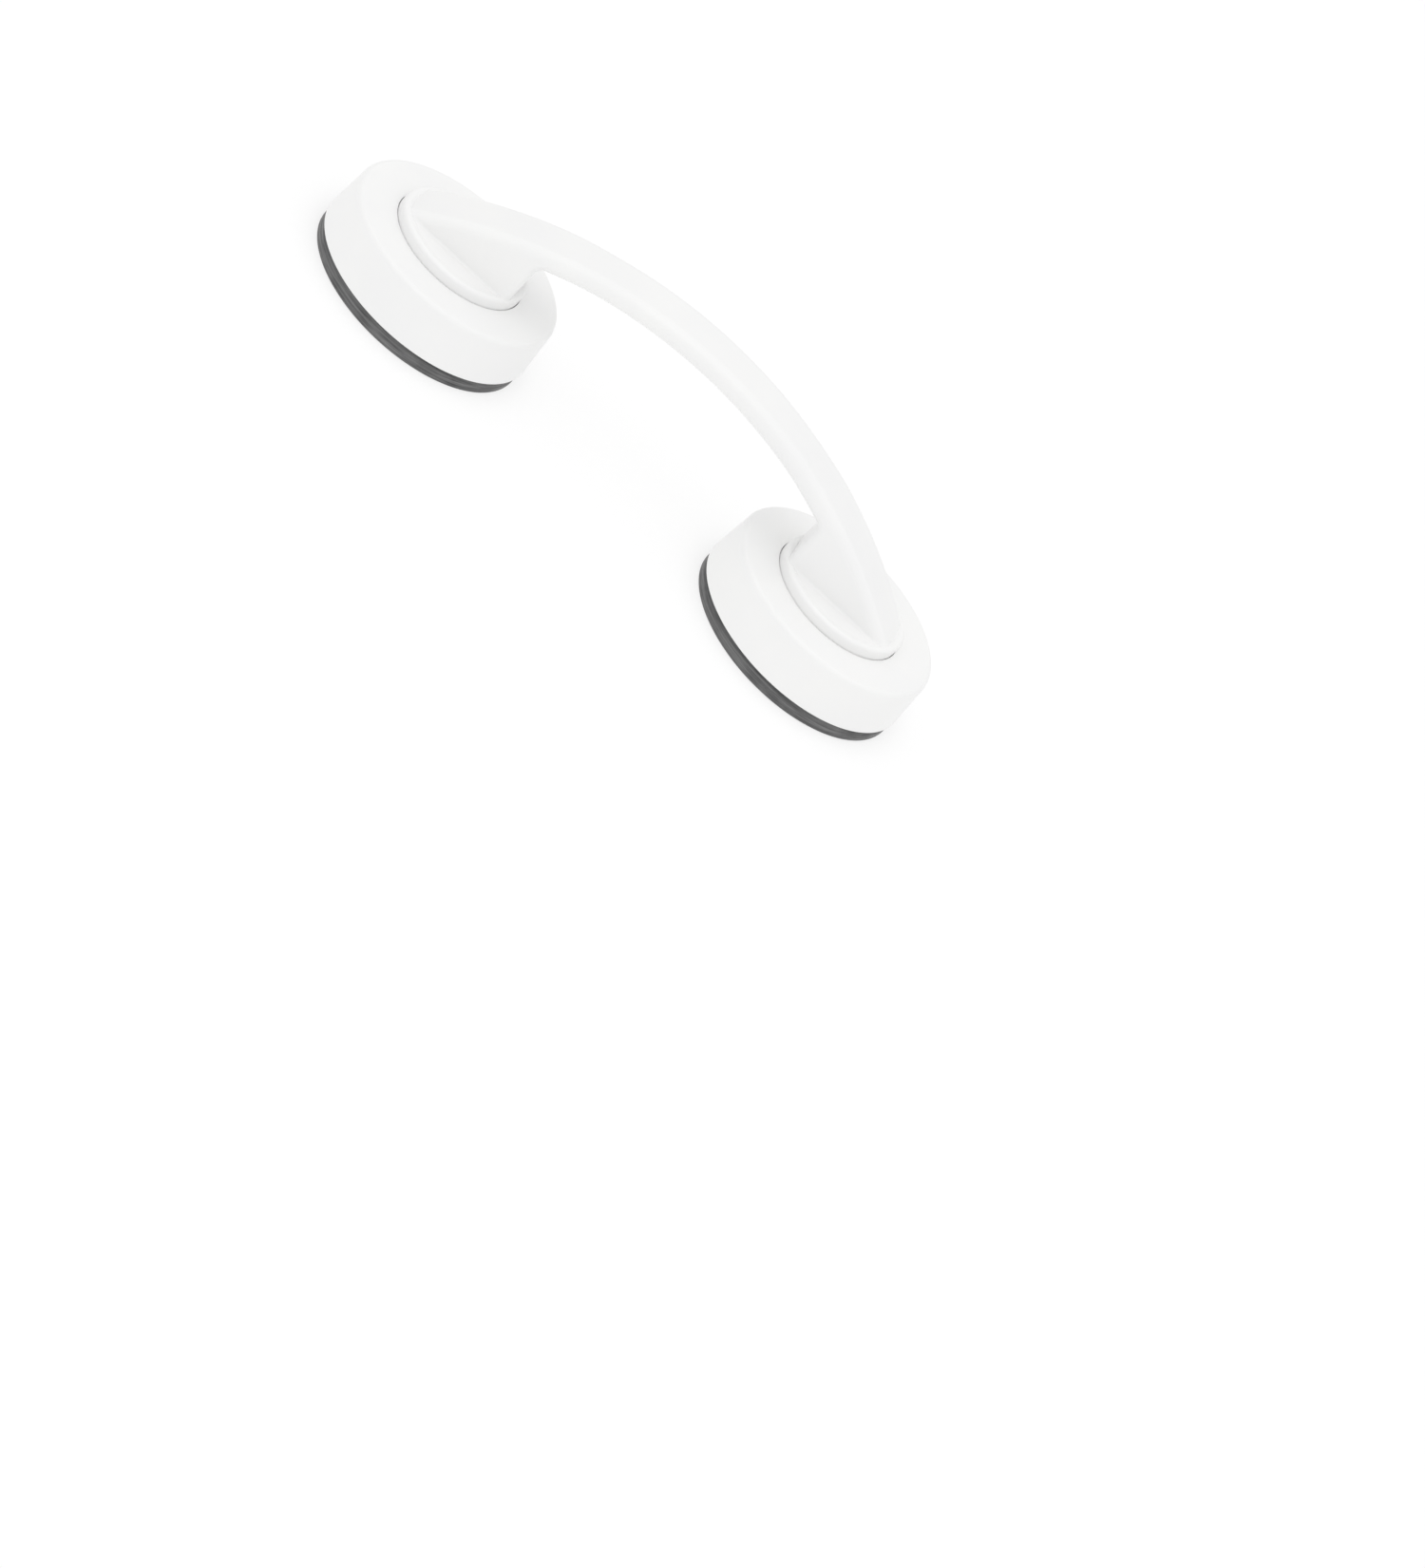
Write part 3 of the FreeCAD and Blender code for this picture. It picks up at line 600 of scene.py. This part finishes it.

# %% [markdown]
# ## Rubber pads
# A pad is one rubber moulding: a thick rim that seals on the wall, and a web whose middle is pulled
# up by the stem. The rim stays with the handle and only the web bends, so they are two pieces that
# meet inside the rim. The web is a shallow cone: on the real pad its low outer edge stays, and its
# high middle rises. Here the rim is attached to the handle, and the web is left as a plain piece in place.

# %% Pad rims and webs
RIM_R = pad_high.x - CUP_X
PAD_TOP_Z = pad_high.z
SEAL_INNER_R = 38.0
BAND_TOP_Z = 3.4
NECK_R = 45.3
NECK_Z = 5.8
WEB_EDGE_R = SEAL_INNER_R + 0.3
WEB_EDGE_Z = (0.9, 2.0)
WEB_MIDDLE_Z = (2.3, 3.6)
WEB_MIDDLE_R = 16.0
WEB_STEP_R = 17.5
WEB_TOP_Z = 6.3
rim = section("pad_rim", [
    (SEAL_INNER_R, 0), (RIM_R, 0), (RIM_R, BAND_TOP_Z), (NECK_R, NECK_Z), (NECK_R, PAD_TOP_Z),
    (SEAL_INNER_R, PAD_TOP_Z),
])
round_corner(rim, RIM_R, 0, 0.8)
round_corner(rim, RIM_R, BAND_TOP_Z, 1.2, 5)
round_corner(rim, NECK_R, NECK_Z, 1.0)
round_corner(rim, SEAL_INNER_R, 0, 1.0)
turn(rim, 180)
web = section("pad_web", [
    (0, WEB_MIDDLE_Z[0]), (WEB_MIDDLE_R, WEB_MIDDLE_Z[0]), (WEB_EDGE_R, WEB_EDGE_Z[0]),
    (WEB_EDGE_R, WEB_EDGE_Z[1]), (WEB_STEP_R, WEB_MIDDLE_Z[1]), (WEB_MIDDLE_R, WEB_TOP_Z),
    (0, WEB_TOP_Z),
])
round_corner(web, WEB_MIDDLE_R, WEB_MIDDLE_Z[0], 3.0)
round_corner(web, WEB_STEP_R, WEB_MIDDLE_Z[1], 1.0)
round_corner(web, WEB_MIDDLE_R, WEB_TOP_Z, 0.6, 3)
turn(web, 120)
for side, x in (("left", -CUP_X), ("right", CUP_X)):
    rim_piece = copy_at(rim, "pad_rim_" + side, x)
    web_piece = copy_at(web, "pad_web_" + side, x)
    for piece in (rim_piece, web_piece):
        only(piece)
        bpy.ops.object.shade_smooth_by_angle(angle=math.radians(40))
        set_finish(piece, "rubber")
        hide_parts("suction_pad_" + side)
    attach(rim_piece, "handle")
    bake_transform(web_piece)
    print(rim_piece.name, "and", web_piece.name, "made")
bpy.data.objects.remove(rim)
bpy.data.objects.remove(web)

# %% [markdown]
# ## Return springs
# A wire ring swept up a helix makes a compression spring. The Screw modifier does this from one small
# circle. When the stem is pulled up, the spring is squeezed under the hub's roof. Here it is attached
# to the handle as it is made.

# %% Springs
SPRING_TURNS = 6
STEPS_PER_TURN = 24
WIRE_R = 0.4
WIRE_SIDES = 10
spring_low, spring_high = span("return_spring_right")
spring_mean_r = (spring_high.x - spring_low.x) / 2 - WIRE_R
first_z = spring_low.z + WIRE_R
pitch = (spring_high.z - spring_low.z - 2 * WIRE_R) / SPRING_TURNS
bpy.ops.object.select_all(action="DESELECT")
wire_start = (spring_mean_r * MM, 0, first_z * MM)
bpy.ops.mesh.primitive_circle_add(vertices=WIRE_SIDES, radius=WIRE_R * MM, fill_type="NGON",
                                  location=wire_start, rotation=(math.pi / 2, 0, 0))
spring = bpy.context.object
bpy.ops.object.transform_apply(location=True, rotation=True, scale=True)
begin(spring, "return_spring")
bpy.ops.mesh.select_all(action="SELECT")
bpy.ops.mesh.delete(type="ONLY_FACE")
done()
apply_modifier(spring, "SCREW", axis="Z", angle=2 * math.pi, screw_offset=pitch * MM, iterations=SPRING_TURNS,
               steps=STEPS_PER_TURN, render_steps=STEPS_PER_TURN, use_merge_vertices=True)
only(spring)
bpy.ops.object.mode_set(mode="EDIT")
bpy.ops.mesh.select_all(action="SELECT")
bpy.ops.mesh.fill_holes(sides=WIRE_SIDES + 2)
clean_normals()
done()
for side, x in (("left", -CUP_X), ("right", CUP_X)):
    piece = copy_at(spring, "spring_coil_" + side, x)
    bpy.ops.object.shade_smooth_by_angle(angle=math.radians(50))
    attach(piece, "handle")
    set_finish(piece, "spring_steel")
    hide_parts("return_spring_" + side)
    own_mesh(piece)
bpy.data.objects.remove(spring)

# %% [markdown]
# ## Making materials
# Colours are picked as on a screen and turned to linear light by one function. Nodes are added by one
# small function that sets values and links inputs. All patterns read Object coordinates, which are
# metres here, so a pattern's scale is one over its real size.

# %% Material helpers
def linear(hex_colour):
    """Linear RGBA of a colour written as on a screen."""
    parts = [int(hex_colour[i:i + 2], 16) / 255 for i in (1, 3, 5)]
    return tuple(p / 12.92 if p <= 0.04045 else ((p + 0.055) / 1.055) ** 2.4 for p in parts) + (1.0,)


def per_mm(size):
    """Pattern scale that repeats about once in this many millimetres."""
    return 1 / (size * MM)


def node(tree, kind, settings=None, **inputs):
    """Adds a node. Settings are its own choices. An input is a value or another node's output."""
    made = tree.nodes.new(kind)
    for key, value in (settings or {}).items():
        setattr(made, key, value)
    for key, value in inputs.items():
        socket = made.inputs[int(key[1:])] if key[1:].isdigit() else made.inputs[key.replace("_", " ")]
        if isinstance(value, bpy.types.NodeSocket):
            tree.links.new(value, socket)
        else:
            socket.default_value = value
    return made


def new_material(name, **shader_inputs):
    """A material with one plain shader, and the Object coordinates that its patterns read."""
    material = bpy.data.materials.new(name)
    material.use_nodes = True
    tree = material.node_tree
    tree.nodes.clear()
    shader = node(tree, "ShaderNodeBsdfPrincipled", **shader_inputs)
    output = node(tree, "ShaderNodeOutputMaterial")
    tree.links.new(shader.outputs["BSDF"], output.inputs["Surface"])
    place = node(tree, "ShaderNodeTexCoord").outputs["Object"]
    return material, tree, shader, place


def stretched(tree, place, sizes):
    """Coordinates in which a pattern is this many millimetres long along X, Y and Z."""
    scale = tuple(per_mm(size) for size in sizes)
    return node(tree, "ShaderNodeMapping", Vector=place, Scale=scale).outputs["Vector"]


def noise(tree, place, scale, detail=2.0, roughness=0.5):
    """A soft cloud pattern from 0 to 1."""
    return node(tree, "ShaderNodeTexNoise", Vector=place, Scale=scale, Detail=detail,
                Roughness=roughness).outputs["Fac"]


def mix(tree, amount, first, second):
    """A colour between two, by amount."""
    made = node(tree, "ShaderNodeMix", {"data_type": "RGBA"}, Factor=amount, _6=first, _7=second)
    return made.outputs[2]


def spread(tree, value, low, high, from_low=0.3, from_high=0.7):
    """Stretches a pattern's middle range to other limits."""
    made = node(tree, "ShaderNodeMapRange", Value=value, From_Min=from_low, From_Max=from_high,
                To_Min=low, To_Max=high)
    return made.outputs["Result"]


def bump(tree, shader, height, depth):
    """Presses a pattern into the surface, with its depth in millimetres."""
    made = node(tree, "ShaderNodeBump", Height=height, Distance=depth * MM, Strength=1.0)
    tree.links.new(made.outputs["Normal"], shader.inputs["Normal"])


# %% [markdown]
# ## White ABS
# The shells are injection-moulded ABS, from a tool with a fine satin polish. ABS gives soft, wide
# highlights and a clean white with the faintest clouding where the plastic flowed. The tool's grain
# is near 0.05 mm. It is drawn at 0.6 mm, which is as fine as a picture of the whole bar can show.

# %% White ABS
def moulded_white_abs():
    """Satin white plastic with faint clouds, handling marks and a fine grain."""
    material, tree, shader, place = new_material("moulded_white_abs", IOR=1.53)
    flow = noise(tree, place, per_mm(38), 3.0)
    shade = mix(tree, spread(tree, flow, 0.0, 1.0), linear("#f3f3f3"), linear("#f6f6f5"))
    tree.links.new(shade, shader.inputs["Base Color"])
    handled = noise(tree, place, per_mm(9), 4.0, 0.6)
    tree.links.new(spread(tree, handled, 0.32, 0.42), shader.inputs["Roughness"])
    bump(tree, shader, noise(tree, place, per_mm(0.6), 1.0), 0.0012)
    return material


# %% [markdown]
# ## Pad rubber
# The pads are compression-moulded dark grey rubber. Mould release and handling leave it matt with fine
# pale streaks that run round the band. The streaks come from a noise that is squeezed along Z, so that
# each one is long and about 0.7 mm high.

# %% Rubber
def streaked_grey_rubber():
    """Matt grey rubber with pale level streaks and worn patches."""
    material, tree, shader, place = new_material("streaked_grey_rubber", IOR=1.52)
    bands = noise(tree, stretched(tree, place, (22, 22, 0.7)), 1.0, 4.0, 0.65)
    cloud = noise(tree, place, per_mm(7), 3.0)
    streak = mix(tree, spread(tree, bands, 0.0, 1.0, 0.36, 0.64), linear("#333334"), linear("#707070"))
    worn = mix(tree, spread(tree, cloud, 0.0, 0.25), streak, linear("#888888"))
    tree.links.new(worn, shader.inputs["Base Color"])
    tree.links.new(spread(tree, bands, 0.62, 0.48), shader.inputs["Roughness"])
    bump(tree, shader, bands, 0.03)
    return material


# %% [markdown]
# ## Inner plastics
# Acetal is naturally off-white and a little translucent, with a waxy surface. The filled nylon is grey,
# and its short glass fibres show as pale flecks near the surface. They are drawn at 0.25 by 0.8 mm.

# %% Acetal and filled nylon
def natural_acetal():
    """Waxy off-white plastic that lets a little light in."""
    material, tree, shader, place = new_material("natural_acetal", IOR=1.48, Subsurface_Weight=0.08,
                                                 Subsurface_Scale=1.5 * MM)
    cloud = noise(tree, place, per_mm(6), 3.0)
    tree.links.new(mix(tree, cloud, linear("#e6e4da"), linear("#f0efe8")), shader.inputs["Base Color"])
    tree.links.new(spread(tree, cloud, 0.34, 0.46), shader.inputs["Roughness"])
    bump(tree, shader, noise(tree, place, per_mm(0.5)), 0.004)
    return material


def glass_filled_nylon():
    """Grey plastic with pale fibre flecks."""
    material, tree, shader, place = new_material("glass_filled_nylon", IOR=1.53)
    fibres = noise(tree, stretched(tree, place, (0.8, 0.25, 0.25)), 1.0, 3.0, 0.7)
    fleck = spread(tree, fibres, 0.0, 1.0, 0.56, 0.72)
    tree.links.new(mix(tree, fleck, linear("#8e9092"), linear("#b4b6b8")), shader.inputs["Base Color"])
    tree.links.new(spread(tree, fibres, 0.42, 0.6), shader.inputs["Roughness"])
    bump(tree, shader, fibres, 0.008)
    return material


# %% [markdown]
# ## Metals
# Three steels are used. Zinc plating is pale with a faint bluish mottle. A ground pin or plate shows
# fine parallel scratches. Drawn spring wire has a fine level grain. Each is the same recipe with its
# own colour, roughness and grain, so one function makes them all.

# %% Metals
def steel(name, dark, light, rough_low, rough_high, grain):
    """A steel with a stretched grain: grain is the pattern's size in millimetres along X, Y and Z."""
    material, tree, shader, place = new_material(name, Metallic=1.0)
    lines = noise(tree, stretched(tree, place, grain), 1.0, 4.0, 0.6)
    colour = mix(tree, spread(tree, lines, 0.0, 1.0), linear(dark), linear(light))
    tree.links.new(colour, shader.inputs["Base Color"])
    tree.links.new(spread(tree, lines, rough_low, rough_high), shader.inputs["Roughness"])
    bump(tree, shader, lines, 0.003)
    return material


# %% [markdown]
# ## Materials on the pieces
# Each CAD node has a material slot in the record, and each new piece was given one above. Both look up
# their finish in one table, so a cup's inside and outside always agree.

# %% Give every piece its material
finishes = {
    "white_abs": moulded_white_abs(),
    "rubber": streaked_grey_rubber(),
    "acetal": natural_acetal(),
    "glass_filled_nylon": glass_filled_nylon(),
    "plated_steel": steel("zinc_plated_steel", "#b9bdc0", "#d4d6d6", 0.25, 0.4, (1.5, 1.5, 1.5)),
    "hardened_steel": steel("ground_hardened_steel", "#a4a5a6", "#c3c4c4", 0.2, 0.34, (6.0, 0.3, 0.3)),
    "spring_steel": steel("drawn_spring_wire", "#adaeaf", "#cfcfce", 0.2, 0.32, (2.0, 2.0, 0.3)),
}
slot_of = {part["node"]: part["material_slot"] for part in frame["record"]["subparts"]}
for name, cad_piece in frame["nodes"].items():
    for slot in cad_piece.material_slots:
        slot.material = finishes[slot_of[name]]
new_pieces = [o for o in bpy.context.scene.objects if o.type == "MESH" and "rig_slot" in o]
for piece in new_pieces:
    piece.data.materials.clear()
    piece.data.materials.append(finishes[piece["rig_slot"]])
print(len(new_pieces), "new pieces and", len(frame["nodes"]), "frame pieces have finishes")

# %% [markdown]
# ## Floor
# The floor is a clean studio white that gives light of its own, as a backlit table does. That light
# fills most of the shadow under the bar. What is left is a faint edge that sets the pads down.

# %% Floor
FLOOR_SIZE = 12
FLOOR_GLOW = 0.7
bpy.ops.object.select_all(action="DESELECT")
bpy.ops.mesh.primitive_plane_add(size=FLOOR_SIZE, location=(0, 0, 0))
floor = bpy.context.object
floor.name = "floor"
floor_white, tree, shader, place = new_material("studio_floor", Roughness=1.0, Specular_IOR_Level=0.0,
                                                Emission_Color=(1, 1, 1, 1), Emission_Strength=FLOOR_GLOW)
paper = mix(tree, noise(tree, place, per_mm(400)), linear("#959595"), linear("#979797"))
tree.links.new(paper, shader.inputs["Base Color"])
floor.data.materials.append(floor_white)
print("floor is", FLOOR_SIZE, "metres wide")

# %% [markdown]
# ## Light
# White plastic on white needs even light. The sky gives most of it and is brighter overhead than at the
# sides, as in a light tent. One broad, weak lamp in front adds just enough direction to tell the top
# faces from the sides.

# %% Sky and lamp
SKY_BASE = 0.74
SKY_SLOPE = (0, -0.04, 0.38)
LAMP_PLACE = Vector((-0.1, -0.9, 2.0))
LAMP_SIZE = 1.2
LAMP_POWER = 2.0
world = bpy.data.worlds.new("studio_sky")
bpy.context.scene.world = world
world.use_nodes = True
sky = world.node_tree
direction = node(sky, "ShaderNodeTexCoord").outputs["Generated"]
slope = node(sky, "ShaderNodeVectorMath", {"operation": "DOT_PRODUCT"}, _0=direction, _1=SKY_SLOPE)
sky_strength = node(sky, "ShaderNodeMath", {"operation": "ADD"}, _0=slope.outputs["Value"], _1=SKY_BASE)
background = sky.nodes["Background"]
background.inputs["Color"].default_value = (1, 1, 1, 1)
sky.links.new(sky_strength.outputs["Value"], background.inputs["Strength"])
bpy.context.scene.view_settings.view_transform = "Standard"
bpy.ops.object.light_add(type="AREA", location=LAMP_PLACE)
lamp = bpy.context.object
lamp.data.energy = LAMP_POWER
lamp.data.size = LAMP_SIZE
lamp.rotation_euler = LAMP_PLACE.to_track_quat("Z", "Y").to_euler()
print("lamp stands at", [round(value, 2) for value in LAMP_PLACE])
